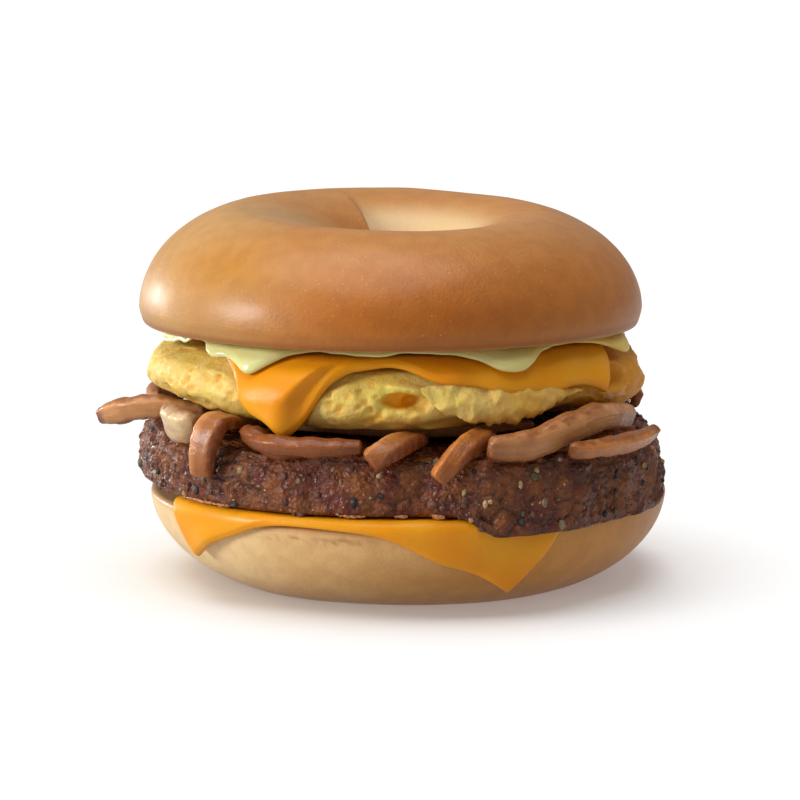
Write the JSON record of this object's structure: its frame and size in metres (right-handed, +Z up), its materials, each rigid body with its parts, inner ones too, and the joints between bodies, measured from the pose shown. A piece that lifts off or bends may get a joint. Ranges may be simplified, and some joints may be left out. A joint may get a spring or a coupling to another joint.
{
  "type": "bagel sandwich",
  "caption": "Bagel sandwich: a halved ring-shaped roll holding a peppered steak patty, fried onion strips, a folded egg, cheese slices and sauce.",
  "frame": {"origin": "middle of the whole sandwich, on the surface that it stands on", "axes": "+Z up through the layers, +X towards the right end of the picture, -Y towards the front, where the long corners of the cheese slices hang down"},
  "size_m": [0.1181, 0.1159, 0.0769],
  "materials": {
    "crust": "baked crust, brown, softly shining on the upper half and paler on the lower",
    "cheese": "soft yellow-orange processed cheese",
    "meat": "fried minced steak, dark brown, moist, with cracked pepper",
    "onion": "fried onion, tan to brown, oily",
    "egg": "soft cooked egg, yellow",
    "sauce": "creamy pale yellow-green sauce"
  },
  "bodies": {
    "root": {"bagel_lower": "crust", "cheese_lower": "cheese", "steak_patty": "meat", "onion_left_tip": "onion", "onion_left_white": "onion", "onion_left_over": "onion", "onion_front_long": "onion", "onion_front_short": "onion", "onion_front_blunt": "onion", "onion_front_hanging": "onion", "onion_right_wave": "onion", "onion_right_charred": "onion", "onion_right_back": "onion", "onion_back_over": "onion", "onion_back_right_long": "onion", "onion_back_blunt": "onion", "onion_back_wave": "onion", "onion_back_left_over": "onion", "onion_left_back_long": "onion", "onion_inner_front": "onion", "onion_inner_middle": "onion", "onion_inner_back": "onion", "egg": "egg", "cheese_upper": "cheese", "sauce": "sauce", "bagel_upper": "crust"}
  },
  "joints": []
}
